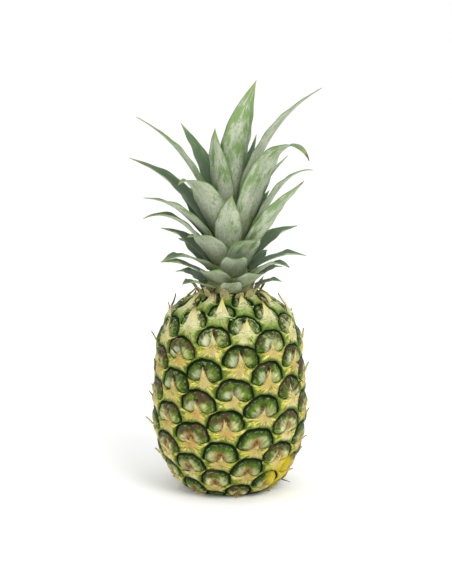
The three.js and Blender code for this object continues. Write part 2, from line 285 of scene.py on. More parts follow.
class PineappleRindSettings(bpy.types.PropertyGroup):
    groove_depth: size("Groove depth", "Depth of the groove that arches over each eye", 0.0013)
    groove_width: size("Groove width", "Width of that groove", 0.0015)
    seam_depth: size("Seam depth", "Depth of the seam between an eye and its own bract", 0.0006)
    dome_rise: size("Dome rise", "Rise of an eye from its rim to its middle", 0.002)
    bract_lift: size("Bract lift", "Lift of a bract's root over the rind", 0.0013)
    spine_length: size("Spine length", "Length of a bract's spine on the body of the fruit", 0.0110)
    shoulder_length: size("Shoulder spine length", "Length of a spine on the shoulder", 0.0195)
    # Partly the eye's own deep green rim, partly painted shade where the dome dips into the groove.
    rim: colour("Rim", "Rim of an eye", 14, 29, 5)
    flesh: colour("Eye", "Middle tone of an eye", 44, 66, 12)
    light: colour("Light green", "Lighter mottles of an eye", 98, 128, 36)
    # Used for real waxy bloom, and also for the painted highlight on the eyes' lobes and along their
    # lips.
    bloom: colour("Bloom", "Waxy bloom on the lobes of an eye", 194, 200, 162)
    # Painted light: an eye's right lobe is yellower, as lit from the right.
    lobe: colour("Sunny lobe", "Yellower lobe of an eye", 168, 178, 86)
    purple: colour("Purple", "Tinge on top of some eyes", 72, 50, 36)
    # Painted shade: this blackish green fills the grooves and seams, where shade falls.
    groove: colour("Groove", "Bottom of the grooves", 12, 30, 4)
    bract: colour("Bract", "Middle of a bract", 178, 166, 96)
    cream: colour("Cream", "Middle of the palest bracts", 208, 206, 150)
    lemon: colour("Lemon", "Beside the middle of a bract", 180, 172, 60)
    young: colour("Young", "Beside the middle of a bract on the shoulder", 148, 168, 104)
    horn: colour("Horn", "Sides of a bract", 110, 136, 38)
    # Partly the bract's own green edge, partly painted shade beside the groove over the eye.
    bract_edge_and_shade: colour("Bract foot", "Edge of a bract along a groove", 58, 96, 16)
    root: colour("Root", "Root of a spine", 176, 120, 58)
    amber: colour("Amber", "Warm spots under the spines", 188, 118, 44)
    spine: colour("Spine", "Middle of a spine", 198, 190, 118)
    stain: colour("Stain", "Stains on the bracts", 158, 130, 78)
    olive: colour("Olive", "Darker patches on the bracts", 104, 108, 36)
    dry: colour("Dry", "Shrivelled spots", 66, 42, 22)
    ripe: colour("Ripe", "Ripe patch low on the fruit", 200, 178, 20)
    stalk: colour("Stalk", "Cut face of the stalk", 176, 156, 104)


class PineappleCrownSettings(bpy.types.PropertyGroup):
    foot_thickness: size("Foot thickness", "Thickness of a leaf at its foot", 0.0012)
    tip_thickness: size("Tip thickness", "Thickness of a leaf at its tip", 0.0008)
    edge_thickness: size("Edge thickness", "Thickness of a leaf at its margins", 0.0005)
    ripple: size("Ripple", "Height of the ripples along the margins", 0.0004)
    back: colour("Back", "Outer face of a leaf", 146, 160, 128)
    bloom: colour("Bloom", "Waxy bloom on the outer face", 190, 197, 172)
    grain: colour("Grain", "Fine darker mottles on the outer face", 96, 122, 78)
    inner: colour("Inner face", "Inner face of a leaf", 80, 104, 72)
    rubbed: colour("Rubbed", "Where the bloom is rubbed off", 104, 140, 64)
    margin: colour("Margin", "Margins of a leaf", 98, 132, 68)
    foot: colour("Foot", "Foot of a leaf", 166, 174, 128)
    tip: colour("Tip", "Tip of a leaf", 138, 150, 84)
    scorched: colour("Scorched", "Dried ends", 96, 66, 38)
    scale: colour("Scale", "Dry scales under the crown", 190, 172, 122)
    stem: colour("Stem", "Stem of the crown", 122, 136, 86)


class PineappleStageSettings(bpy.types.PropertyGroup):
    floor: colour("Floor", "Floor of the stage", 253, 253, 253)
    sky: amount("Sky", "Strength of the even white light", 1.04)
    key: amount("Key light", "Power of the large soft light", 16, "POWER")
    fill: amount("Fill light", "Power of the light on the other side", 1, "POWER")
    lens: amount("Lens", "Focal length", 108, "CAMERA")


# ---- Shapes in numbers ---------------------------------------------------


def smooth(value, low, high):
    share = np.clip((value - low) / (high - low), 0, 1)
    return share * share * (3 - 2 * share)


def blend(a, b, share):
    return a + (b - a) * share


def round_maximum(a, b, width):
    """The larger of two values, rounded off where they are less than a width apart."""
    near = np.maximum(width - np.abs(a - b), 0)
    return np.maximum(a, b) + near * near / (4 * width)


def unit(vectors):
    return vectors / np.linalg.norm(vectors, axis=-1)[..., None]


def polar(radius, angle, height):
    """Points at an angle round the axis."""
    turn = np.radians(angle)
    return np.stack([radius * np.sin(turn), -radius * np.cos(turn), height + 0 * turn], -1)


def smooth_curve(corners, pieces=40):
    """Points on the uniform Catmull-Rom curve through the corners."""
    points = np.vstack([corners[:1], corners, corners[-1:]])
    t = np.linspace(0, 1, pieces, endpoint=False)[:, None]
    spans = []
    for before, start, end, after in zip(points, points[1:], points[2:], points[3:]):
        v0, v1 = (end - before) / 2, (after - start) / 2
        cubic = 2 * start - 2 * end + v0 + v1
        square = -3 * start + 3 * end - 2 * v0 - v1
        spans.append(((cubic * t + square) * t + v0) * t + start)
    return np.vstack([*spans, corners[-1:]])


def lengths_along(points):
    return np.concatenate([[0], np.cumsum(np.linalg.norm(np.diff(points, axis=0), axis=1))])


def make_profile():
    """The whole outline from the foot's middle to the socket's: distances along it, and points."""
    body = smooth_curve(np.array(MERIDIAN) * (FRUIT_RADIUS, 1))
    points = np.vstack([FOOT, body, NECK])
    along = lengths_along(points)
    return along - along[len(FOOT)], points, lengths_along(body)[-1]


PROFILE_ARC, PROFILE, MERIDIAN_LENGTH = make_profile()
PROFILE_TANGENT = unit(np.gradient(PROFILE, PROFILE_ARC, axis=0))


def on_rind(angle, arc, lift=0.0):
    """The point at an angle and a distance up the rind, lifted off it."""
    radius, height = (np.interp(arc, PROFILE_ARC, PROFILE[:, k]) for k in (0, 1))
    out, up = (np.interp(arc, PROFILE_ARC, PROFILE_TANGENT[:, k]) for k in (0, 1))
    return polar(radius + up * lift, angle, np.maximum(0, height - out * lift))


def girth_of_eye(arc):
    """Width of an eye there, in metres."""
    return np.maximum(0.002, np.interp(arc, PROFILE_ARC, PROFILE[:, 0])) * math.radians(EYE_ANGLE)


def relief_fade(arc):
    """Share of the full relief at a distance up the rind."""
    foot = smooth(arc, 0, RELIEF_FADE["foot"])
    return foot * smooth(MERIDIAN_LENGTH - arc, 0, RELIEF_FADE["neck"])


def trait(name, column, level):
    """What differs from eye to eye; the columns go on round the fruit."""
    rounds = np.floor(column / EYE_COLUMNS)
    column = (column - EYE_COLUMNS * rounds).astype(int)
    level = (level - EYE_COLUMNS * EYE_STAGGER * rounds - LOWEST_LEVEL).round().astype(int)
    share = TRAIT_VALUES[column, np.clip(level, 0, LEVELS - 1), list(TRAITS).index(name)]
    return blend(*TRAITS[name], share)


def on_lattice(angle, arc):
    """Columns round from the first eye, and levels up from it."""
    up = arc - FIRST_EYE_ARC
    return (angle - FIRST_EYE_ANGLE - COLUMN_LEAN * up) / EYE_ANGLE, up / EYE_PITCH


def in_eye(angle, arc, column, level):
    """A place on the rind in widths and heights of an eye from its middle."""
    across, up = on_lattice(angle, arc)
    v = up + column * EYE_STAGGER - level
    return across - column + LEAN_OF_EYE * v, v


def middle_of_eye(column, level):
    """Angle and distance up the rind."""
    arc = FIRST_EYE_ARC + (level - column * EYE_STAGGER) * EYE_PITCH
    return FIRST_EYE_ANGLE + COLUMN_LEAN * (arc - FIRST_EYE_ARC) + column * EYE_ANGLE, arc


def eyes_around(angle, arc):
    """Column and level of each of the nine eyes round each place."""
    across, up = on_lattice(angle, arc)
    for side in (-1, 0, 1):
        column = np.round(across) + side
        for above in (-1, 0, 1):
            yield column, np.round(up + column * EYE_STAGGER) + above


def eye_shift(column, level, v):
    """How far an eye's own middle line is to the right of the lattice's, in widths of an eye."""
    return trait("shift", column, level) + trait("tilt", column, level) * v


def dome_distance(angle, arc, column, level):
    """Distance in metres from the outline of an eye's dome, negative inside, and the place in
    the eye."""
    u, v = in_eye(angle, arc, column, level)
    u = u - eye_shift(column, level, v)
    v = v + trait("rise", column, level)
    y = v - DOME_MIDDLE
    round_dome = np.arctan2(y, u) + 6 * trait("tone", column, level)
    wobble = sum(high * np.sin(waves * round_dome) for waves, high in WOBBLE)
    half_width = DOME_HALF_WIDTH * trait("width", column, level)
    half_height = np.where(y > 0, DOME_ABOVE["height"], DOME_BELOW["height"])
    half_height = half_height * trait("height", column, level)
    power = np.where(y > 0, DOME_ABOVE["power"], DOME_BELOW["power"])
    x, y = np.abs(u) / half_width, y / half_height
    reach = np.maximum(1e-6, (x**power + np.abs(y) ** power) ** (1 / power))
    steep_x = (x / reach) ** (power - 1) / (half_width * girth_of_eye(arc))
    steep_y = (np.abs(y) / reach) ** (power - 1) / (half_height * EYE_PITCH)
    return (reach - 1) / np.hypot(steep_x, steep_y) + wobble, u, v


def spine_tip(arc, column, level, settings):
    """How far the tip of an eye's spine is above the eye's middle, in heights of an eye."""
    length = blend(settings.spine_length, settings.shoulder_length, smooth(arc, *SHOULDER))
    length = length * trait("spine", column, level) * blend(LOW_SPINES, 1, smooth(arc, *LOW_EYES))
    return SPINE_FOOT + length / EYE_PITCH


def spine_half_width(v, tip, high):
    """Half the width of a spine, which flares downwards into its bract, in widths of an eye."""
    share = np.clip((tip - v) / (tip - SPINE_FOOT), 0, 1)
    return blend(*SPINE_FLARE["half_width"], high) * share ** blend(*SPINE_FLARE["power"], high)


def spine_distance(u, v, tip, high, arc):
    """Distance in metres into the outline of a spine, negative outside it."""
    girth = girth_of_eye(arc)
    half_width = spine_half_width(v, tip, high)
    below = 0.02
    steepness = (spine_half_width(v - below, tip, high) - half_width) / below * girth / EYE_PITCH
    beside = (half_width - np.abs(u)) * girth / np.hypot(1, steepness)
    return np.where(v < tip, beside, -np.hypot(u * girth, (v - tip) * EYE_PITCH))


def bract_lift(u, v):
    """Share of the bract's full lift, highest where the spine grows out of it."""
    risen = smooth(v, *BRACT["rise"]) * (1 - smooth(v, *BRACT["fall"]))
    return risen * np.exp(-((u / blend(*BRACT["width"], smooth(v, *BRACT["narrowing"]))) ** 2))


def bump(u, v, middle_u, middle_v, half_width, half_height):
    return np.exp(-(((u - middle_u) / half_width) ** 2) - ((v - middle_v) / half_height) ** 2)


def lobes(u, v):
    """Two lobes of a dome and the hollow between them, in shares of the dome's rise."""
    return LOBE_RISE * bump(np.abs(u), v, *LOBE) - HOLLOW_DEPTH * bump(u, v, *LOBE_HOLLOW)


def rind_shape(angle, arc, settings):
    """What the rind does at each place: its lift in metres, the distance from the nearest dome, how
    far up that dome's side the place is, and the eye it belongs to."""
    nothing = dict.fromkeys(("over", "column", "level", "groove", "bract", "lobe"), 0.0)
    starts = {"rim": 1.0, "away": 1e9, **nothing}
    shape = {name: np.full(angle.shape, start) for name, start in starts.items()}
    for column, level in eyes_around(angle, arc):
        distance, u, v = dome_distance(angle, arc, column, level)
        middle = middle_of_eye(column, level)[1]
        tip = spine_tip(middle, column, level, settings)
        spine = spine_distance(u, v, tip, smooth(middle, *SHOULDER), arc)
        side = np.where(spine < distance, smooth(v, *GROOVE_FROM), 0)
        distance = round_maximum(distance, spine, SPINE_ROUNDING)
        width = blend(SEAM_WIDTH, settings.groove_width, side)
        depth = blend(settings.seam_depth, settings.groove_depth, side)
        outside = 1 - smooth(distance, GROOVE_FLAT * width, width)
        inside = 1 - smooth(-distance, 0, GROOVE_INSIDE)
        groove = depth * np.where(distance > 0, outside, inside)
        shape["groove"] = np.maximum(shape["groove"], groove)
        shape["bract"] = np.maximum(shape["bract"], bract_lift(u, v))
        shape["lobe"] += np.where(distance < 0, trait("lobes", column, level) * lobes(u, v), 0)
        away = np.hypot(u * girth_of_eye(arc), (v - BRACT_MIDDLE) * EYE_PITCH)
        away = away - (distance < GROOVE_OWN * width)  # there its own eye is always the nearest
        closer, mine = distance < shape["rim"], away < shape["away"]
        found = {"rim": distance, "over": side, "away": away, "column": column, "level": level}
        for name, value in found.items():
            shape[name] = np.where(closer if name in ("rim", "over") else mine, value, shape[name])
    rim = shape["rim"]
    slope = 1 - np.clip(-rim / DOME_SLOPE["width"], 0, 1)
    between = blend(*PLATEAU["drop"], np.exp(-np.maximum(rim, 0) / PLATEAU["reach"]))
    rise = shape["lobe"] * smooth(-rim, 0, LOBES_INSIDE)
    rise = rise - np.where(rim < 0, slope ** DOME_SLOPE["power"], between)
    bract = settings.bract_lift * shape["bract"] * smooth(rim, *BRACT_RIM)
    shape["lift"] = relief_fade(arc) * (settings.dome_rise * rise - shape["groove"] + bract)
    return shape


# ---- Work on meshes ------------------------------------------------------


def set_mode(mode):
    bpy.ops.object.mode_set(mode=mode)


def deselect():
    if bpy.context.object and bpy.context.object.mode != "OBJECT":
        set_mode("OBJECT")
    bpy.ops.object.select_all(action="DESELECT")


def added(name):
    """The primitive that was just added, named."""
    piece = bpy.context.object
    piece.name = name
    piece.data.name = name
    return piece


def places(mesh):
    values = np.empty(len(mesh.vertices) * 3)
    mesh.vertices.foreach_get("co", values)
    return values.reshape(-1, 3)


def put(mesh, points):
    mesh.vertices.foreach_set("co", np.ascontiguousarray(points, float).ravel())
    mesh.update()


def corners(mesh):
    """Index of the vertex at each corner of the faces."""
    values = np.empty(len(mesh.loops), np.int32)
    mesh.loops.foreach_get("vertex_index", values)
    return values


def mark(mesh, **values):
    """Numbers for the vertices, or one number for all, that the materials read by name."""
    for name, value in values.items():
        attribute = mesh.attributes.get(name) or mesh.attributes.new(name, "FLOAT", "POINT")
        value = np.broadcast_to(value, len(mesh.vertices))
        attribute.data.foreach_set("value", np.ascontiguousarray(value, np.float32))


def unwrap(mesh, name, values):
    """UV of each corner of the faces."""
    layer = mesh.uv_layers.active or mesh.uv_layers.new(name=name)
    layer.name = name
    layer.data.foreach_set("uv", np.ascontiguousarray(values, np.float32).ravel())


def close_up(piece, distance):
    """Merges what lies together and turns the faces outwards."""
    deselect()
    piece.select_set(True)
    bpy.context.view_layer.objects.active = piece
    set_mode("EDIT")
    bpy.ops.mesh.select_all(action="SELECT")
    bpy.ops.mesh.remove_doubles(threshold=distance)
    bpy.ops.mesh.normals_make_consistent(inside=False)
    set_mode("OBJECT")
    bpy.ops.object.shade_smooth()


def copied(blank, name):
    """A copy of a blank with its own mesh."""
    piece = blank.copy()
    piece.data = blank.data.copy()
    piece.name = name
    piece.data.name = name
    bpy.context.collection.objects.link(piece)
    return piece


def discard(piece):
    mesh = piece.data
    bpy.data.objects.remove(piece)
    bpy.data.meshes.remove(mesh)


def finish_piece(piece, material, slot, *nodes):
    piece.data.materials.clear()
    piece.data.materials.append(material)
    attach(piece, "root")
    if nodes:
        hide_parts(*nodes)


# ---- Materials -----------------------------------------------------------


class Value:
    """What a node gives. Arithmetic with it adds Math nodes to the shader tree."""

    def __init__(self, shader, socket):
        self.shader, self.socket = shader, socket

    def math(self, operation, *others):
        return self.shader.out("ShaderNodeMath", self, *others, operation=operation)

    __add__ = partialmethod(math, "ADD")
    __sub__ = partialmethod(math, "SUBTRACT")
    __rsub__ = partialmethod(math, "MULTIPLY_ADD", -1)
    __mul__ = partialmethod(math, "MULTIPLY")
    __truediv__ = partialmethod(math, "DIVIDE")
    __abs__ = partialmethod(math, "ABSOLUTE")

    def step(self, low, high, start=0.0, end=1.0):
        """A smooth step from start to end while the value goes from low to high."""
        values = (self, low, high, start, end)
        return self.shader.out("ShaderNodeMapRange", *values, interpolation_type="SMOOTHSTEP")

    def noise(self, scale, detail=2.0, roughness=0.5):
        """Noise between 0 and 1 at the place that the value is."""
        named = {"Vector": self, "Scale": scale, "Detail": detail, "Roughness": roughness}
        return self.shader.out("ShaderNodeTexNoise", named=named)

    def parts(self):
        node = self.shader.node("ShaderNodeSeparateXYZ", self)
        return [Value(self.shader, output) for output in node.outputs]


class Shader:
    """Adds nodes to a shader tree. Each of their inputs is a Value, a number, a colour or a vector."""

    def __init__(self, tree):
        self.tree = tree

    def node(self, kind, *values, named=None, **settings):
        """A node with its settings, and with inputs given in order or by name."""
        node = self.tree.nodes.new(kind)
        for name, setting in settings.items():
            setattr(node, name, setting)
        for socket, value in zip(node.inputs, values):
            self.feed(socket, value)
        for name, value in (named or {}).items():
            self.feed(node.inputs[name], value)
        return node

    def feed(self, socket, value):
        if isinstance(value, Value):
            self.tree.links.new(value.socket, socket)
        elif socket.type == "RGBA":
            socket.default_value = (*value[:3], 1)
        else:
            socket.default_value = value

    def out(self, kind, *values, output=0, **settings):
        """What a new node gives."""
        return Value(self, self.node(kind, *values, **settings).outputs[output])

    def mix(self, share, a, b):
        node = self.node("ShaderNodeMix", data_type="RGBA")
        for socket, value in zip((node.inputs[0], node.inputs[6], node.inputs[7]), (share, a, b)):
            self.feed(socket, value)
        return Value(self, node.outputs[2])

    def coats(self, colour, *coats):
        """A colour with others laid over it in turn, each given after its share."""
        for share, coat in coats:
            colour = self.mix(share, colour, coat)
        return colour

    def scaled(self, colour, share):
        return self.out("ShaderNodeVectorMath", colour, named={"Scale": share}, operation="SCALE")

    def vector(self, x, y, z):
        return self.out("ShaderNodeCombineXYZ", x, y, z)

    def attributes(self, *names):
        kind = "ShaderNodeAttribute"
        return [self.out(kind, attribute_name=name, output="Fac") for name in names]

    def uv(self, name):
        return self.out("ShaderNodeUVMap", uv_map=name).parts()[:2]

    def object_place(self):
        return self.out("ShaderNodeTexCoord", output="Object")

    def group(self, name, **values):
        """What a shared node group gives, for values of its inputs."""
        tree = bpy.data.node_groups.get(name) or GROUPS[name]()
        node = self.node("ShaderNodeGroup", node_tree=tree, named=values)
        return [Value(self, output) for output in node.outputs]

    def specked(self, place, colour, speck, scale, amount):
        """The colour with dry specks on it."""
        values = {"Vector": place, "Colour": colour, "Speck": speck}
        return self.group("dry specks", Scale=scale, Amount=amount, **values)[0]

    def finish(self, surface, colour, roughness, height, strength, depth):
        """Feeds a surface its colour, its roughness and its fine relief."""
        relief = {"Strength": strength, "Distance": depth, "Height": height}
        normal = self.out("ShaderNodeBump", named=relief)
        for name, value in {"Base Color": colour, "Roughness": roughness, "Normal": normal}.items():
            self.feed(surface[name], value)


def away(u, v, middle, radii):
    """Distance from a point, in radii of an ellipse round it."""
    x, y = (u - middle[0]) / radii[0], (v - middle[1]) / radii[1]
    return (x * x + y * y).math("SQRT")


def new_group(name, inputs, outputs):
    """A node group: its shader, the Values of its inputs, and the sockets of its outputs."""
    tree = bpy.data.node_groups.new(name, "ShaderNodeTree")
    for direction, sockets in (("INPUT", inputs), ("OUTPUT", outputs)):
        for label, kind in sockets.items():
            tree.interface.new_socket(label, in_out=direction, socket_type="NodeSocket" + kind)
    shader = Shader(tree)
    given = [Value(shader, socket) for socket in shader.node("NodeGroupInput").outputs]
    return shader, given[: len(inputs)], shader.node("NodeGroupOutput").inputs


def specks_group():
    """Small dry specks scattered over a colour."""
    inputs = {"Vector": "Vector", "Colour": "Color", "Speck": "Color"}
    inputs.update(Scale="Float", Amount="Float")
    shader, given, out = new_group("dry specks", inputs, {"Colour": "Color"})
    vector, colour, speck, scale, amount = given
    threshold = 0.78 - amount * 0.3
    share = vector.noise(scale, 3, 0.65).step(threshold, threshold + 0.07) * 0.85
    shader.feed(out["Colour"], shader.mix(share, colour, speck))
    return shader.tree


def fibres_group():
    """Fine lines along a vector's second axis, as a lighter and darker colour and as a height."""
    inputs = {"Vector": "Vector", "Colour": "Color", "Depth": "Float"}
    outputs = {"Colour": "Color", "Height": "Float"}
    shader, (vector, colour, depth), out = new_group("fine fibres", inputs, outputs)
    lines = vector.noise(1, 4, 0.7)
    shader.feed(out["Colour"], shader.scaled(colour, (lines - 0.5) * depth + 1))
    shader.feed(out["Height"], lines)
    return shader.tree


GROUPS = {"dry specks": specks_group, "fine fibres": fibres_group}


def new_material(name, specular):
    """A material, the shader of its tree, and the inputs of its surface."""
    material = bpy.data.materials.new(name)
    material.use_nodes = True
    surface = material.node_tree.nodes["Principled BSDF"].inputs
    surface["Specular IOR Level"].default_value = specular
    return material, Shader(material.node_tree), surface


# What the rind's colours go by: the place and its height, the place in the eye, the mesh's
# attributes, how low and how high it is, coarse noise, and rays out of the spine's root.
Spot = namedtuple("Spot", "place z u v rim over tone low high coarse rays")


def rind_spot(shader):
    place = shader.object_place()
    z = place.parts()[2]
    u, v = shader.uv("eye")
    rim, over, tone = shader.attributes("rim", "over", "tone")
    round_root = u.math("ARCTAN2", v + 0.3) * 6
    from_root = away(u, v, SPINE_ROOT, (1, 1)) * 4
    rays = shader.vector(round_root, from_root, tone * 40)
    low, high = z.step(*DRY_FROM), z.step(*PALE_FROM)
    return Spot(place, z, u, v, rim, over, tone, low, high, place.noise(*COARSE), rays)


def eye_colour(shader, settings, spot):
    """A rim of deep green that is partly painted shade, a green middle with pale lobes of waxy bloom
    and painted highlight on both sides of the spine's root, the right lobe yellower as painted
    light, a painted highlight along the lip, and a dry hollow; and the height of its wrinkles."""
    u, v, tone, low, high = spot.u, spot.v, spot.tone, spot.low, spot.high
    streaks = spot.rays.noise(1, 4, 0.65)
    mottles = spot.place.noise(*MOTTLES)
    uneven = spot.coarse - 0.5
    inwards = uneven * 2.4 - spot.rim
    light = (mottles + tone * 0.15).step(0.45, 0.72)
    deep = (inwards + mottles * 2.5).step(2.6, 7.5, 0, 0.65) * (1 - high)
    green = shader.mix(light.math("MAXIMUM", deep), settings.flesh, settings.light)
    # The rim colour is partly painted shade; its band is widest at the top of the eye, under the
    # groove.
    rim_and_shade_width = v.step(-0.25, 0.05, 1, 3.6) * high.step(0, 1, 1, 0.55)
    on_top = v.step(-0.25, 0.2) * tone.step(0, 0.6) * spot.coarse.step(0.4, 0.56)
    # The pale lobes are waxy bloom and painted highlight together.
    reach = away(abs(u), v, *BLOOM_AND_HIGHLIGHT_LOBE) + uneven * 2.2
    reach = reach - low * 0.45 - spot.z.step(*BLOOM_AND_HIGHLIGHT_FROM) * 0.25
    pale = reach.step(1.05, 0.1) * streaks.step(0.25, 0.7, 0.5, 1)
    # Painted light: the right lobe is tinted yellower, as lit from the right.
    painted_light_right = (u + uneven * 1.2).step(-0.05, 0.2) * 0.7
    lobe = shader.coats(settings.bloom, (painted_light_right, settings.lobe), (low * 0.8, settings.cream))
    dusty = inwards.step(0.6, 2.5) * mottles.step(0.48, 0.66, 0, 0.55)
    # Painted highlight: a thin pale line along the lip of the dome.
    line = abs(inwards - 1.5).step(0.5, 0.1) * mottles.step(0.46, 0.62, 0, 0.25)
    eye = shader.coats(
        settings.rim,
        (inwards.step(0, rim_and_shade_width), green),
        (on_top * mottles.step(0.3, 0.55, 0.5, 1), settings.purple),
        (pale * tone.step(-0.9, 0.6) * 0.95, lobe),
        (dusty * high, settings.bloom),
        (line, settings.bloom),
    )
    eye = shader.group("fine fibres", Vector=spot.rays, Colour=eye, Depth=1.7)[0]
    hollow = away(u, v, *DRY_HOLLOW).step(1.3, 0.2)
    hollow = hollow * (streaks + low * 0.1).step(0.46, 0.64)
    eye = shader.mix(hollow * low.step(0, 1, 0.25, 1), eye, settings.root)
    return shader.mix(hollow * hollow * 0.75, eye, settings.dry), streaks


def middle_of_bract(shader, settings, tone, high):
    """A bract's middle, which differs from eye to eye and is paler on the shoulder."""
    turn = (tone * 5.3).math("FRACT")
    pale = turn.step(0.2, 0.9).math("MAXIMUM", high)
    return shader.coats(settings.bract, (pale, settings.cream), (high * 0.5, settings.bloom))


def bract_colour(shader, settings, spot):
    """A pale middle with a warm root, yellow beside it, green with painted shade by the grooves,
    stains and specks.
    """
    u, v, tone, low, high = spot.u, spot.v, spot.tone, spot.low, spot.high
    streaks = spot.rays.noise(1, 3, 0.6)
    patches = streaks * 0.4 + spot.place.noise(*PATCHES) * 0.6
    uneven = (patches - 0.5) * -1.8
    near = (away(u, v, *TORN_ROOT) + uneven).step(1.2, 0)
    near = near * streaks.step(0.38, 0.6) * low.step(0, 1, 0.35, 0.9)
    warm = (away(u, v, *WARM_ROOT) + uneven * 2.5).step(1.4, 0.2)
    warm = warm * streaks.step(0.36, 0.6) * tone.step(0.1, 0.8, 0.15, 0.6)
    sides = abs(u) * high.step(0, 1, 1, 0.6) + uneven
    # The green edge along the groove over the eye is partly painted shade.
    edge = (spot.rim - spot.coarse * 3.5).step(2.6, -0.4) * spot.over
    bract = shader.coats(
        middle_of_bract(shader, settings, tone, high),
        (near, settings.root),
        (sides.step(0.06, 0.26, 0, 0.9), shader.mix(high, settings.lemon, settings.young)),
        (sides.step(0.28, 0.6, 0, 0.9), settings.horn),
        (streaks.step(0.5, 0.68, 0, 0.65), settings.cream),
        (warm * (1 - high), settings.amber),
        (high * (v + uneven * 0.3).step(-0.2, -0.5, 0, 0.8), settings.horn),
        (edge * 0.95, settings.bract_edge_and_shade),
        (patches.step(0.54, 0.64, 0, 0.6), settings.stain),
        (patches.step(0.49, 0.41, 0, 0.7), settings.olive),
    )
    off_root = away(u, v, *PLAIN_ROOT).step(0.1, 1.1)
    fibrous = shader.group("fine fibres", Vector=spot.rays, Colour=bract, Depth=1.8)[0]
    bract = shader.mix(off_root, bract, fibrous)
    return shader.specked(spot.place, bract, settings.dry, 560, 0.5)


def rind_material(settings):
    """Green eyes with pale lobes of bloom and painted highlight, painted shade in the grooves over
    them, and yellow bracts between them.
    """
    material, shader, surface = new_material("pineapple rind", 0.12)
    spot = rind_spot(shader)
    rim, over = spot.rim, spot.over
    eye, wrinkles = eye_colour(shader, settings, spot)
    # Painted shade: the groove colour along each groove and seam, heavier over the top of the eye.
    off_middle = abs(rim - over * 0.45) + (spot.coarse - 0.5) * 1.6
    painted_groove_shade = off_middle.step(over.step(0, 1, 0.5, 1), over.step(0, 1, 0, 0.35))
    painted_groove_shade = painted_groove_shade * over.step(0, 1, 0.3, 1)
    patch = {"operation": "DISTANCE", "output": "Value"}
    off_patch = shader.out("ShaderNodeVectorMath", spot.place, RIPE_PATCH["middle"], **patch)
    ripe = (off_patch + spot.coarse * 0.016).step(*RIPE_PATCH["edge"])
    x, y = spot.place.parts()[:2]
    cut = away(x, y, (0, 0), (1, 1)).step(*STALK_EDGE) * spot.z.step(*STALK_UNDER)
    colour = shader.coats(
        eye,
        (rim.step(-0.15, 0.25), bract_colour(shader, settings, spot)),
        (ripe * 0.75, settings.ripe),
        (painted_groove_shade, settings.groove),
        (cut, settings.stalk),
    )
    fine = spot.place.noise(*FINE)
    rough = fine.step(0.2, 0.8, 0.42, 0.62) + painted_groove_shade * 0.3
    shader.finish(surface, colour, rough, wrinkles * 0.6 + fine * 0.4, strength=0.6, depth=0.0007)
    return material


def spine_material(settings):
    """A bract's spine: like its bract at the root, straw along it, and brown towards a dry tip."""
    material, shader, surface = new_material("bract spine", 0.4)
    across, along = shader.uv("spine")
    tone, dryness = shader.attributes("tone", "dryness")
    place = shader.object_place()
    high = place.parts()[2].step(*PALE_FROM)
    streaks = shader.vector(across * 4, along, tone * 50).noise(1, 3, 0.6)
    colour = shader.coats(
        middle_of_bract(shader, settings, tone, high),
        (along.step(0.3, 0.7), settings.spine),
        (streaks.step(0.5, 0.75), settings.lemon),
        (along.step(0.85, 0.3) * streaks.step(0.4, 0.62) * 0.45, settings.root),
        (along.step(0.6, 1) * 0.4, settings.horn),
        (along.step(0.7, 1, 0, 0.7), settings.root),
        ((along + dryness * 0.45).step(0.9, 1.25), settings.dry),
    )
    fibres = shader.vector(across * 9, along * 2, tone * 30)
    colour, height = shader.group("fine fibres", Vector=fibres, Colour=colour, Depth=0.7)
    colour = shader.specked(place, colour, settings.dry, 600, 0.3)
    rough = height.step(0.2, 0.8, 0.45, 0.7)
    shader.finish(surface, colour, rough, height, strength=0.4, depth=0.0003)
    return material


def leaf_material(settings):
    """A bloomed grey-green back, a darker inner face, green margins and rubbed spots, and a dry
    tip. Its patterns go by millimetres across and along the leaf."""
    material, shader, surface = new_material("crown leaf", 0.35)
    across, along = shader.uv("leaf")
    inner, tone, long, wide, often, dried = shader.attributes(
        "inner", "tone", "long", "wide", "rubbed", "dried"
    )
    side = abs(across * 2 - 1)
    x, y, seed = (across - 0.5) * wide, along * long, tone * 60
    place = shader.vector(x, y * 0.45, seed)
    colour = shader.coats(
        settings.back,
        (place.noise(0.1, 5, 0.6).step(0.266, 0.616, 0, 0.992), settings.bloom),
        (along.step(0.35, 0), settings.foot),
        (place.noise(0.9, 4, 0.7).step(0.5, 0.36, 0, 0.5), settings.grain),
        (inner, settings.inner),
    )
    fibres = shader.vector(x * 1.7, y * 0.035, seed)
    colour, height = shader.group("fine fibres", Vector=fibres, Colour=colour, Depth=0.75)
    rub = shader.vector(x, y * 0.35, seed + 7).noise(0.17, 6, 0.68) + (height - 0.5) * 0.12
    rub = rub + often.step(0, 1, -0.06, 0.1)
    rub = rub + along.step(0.2, 0.9, 0, 0.08) + side.step(0.5, 1, 0, 0.05)
    rubbed = rub.step(0.57, 0.71)
    colour = shader.coats(
        colour,
        (rubbed * 0.82, settings.rubbed),
        (side.step(0.9, 0.99) * 0.6, settings.margin),
        (along.step(0.84, 1) * 0.8, settings.tip),
        ((along + dried * 0.06).step(1, 1.03), settings.scorched),
    )
    colour = shader.specked(place, colour, settings.scorched, 1.3, 0.05)
    rough = (place.noise(0.12, 4, 0.6) - rubbed * 0.4).step(0, 0.8, 0.4, 0.68)
    shader.finish(surface, colour, rough, height, strength=0.35, depth=0.0003)
    return material


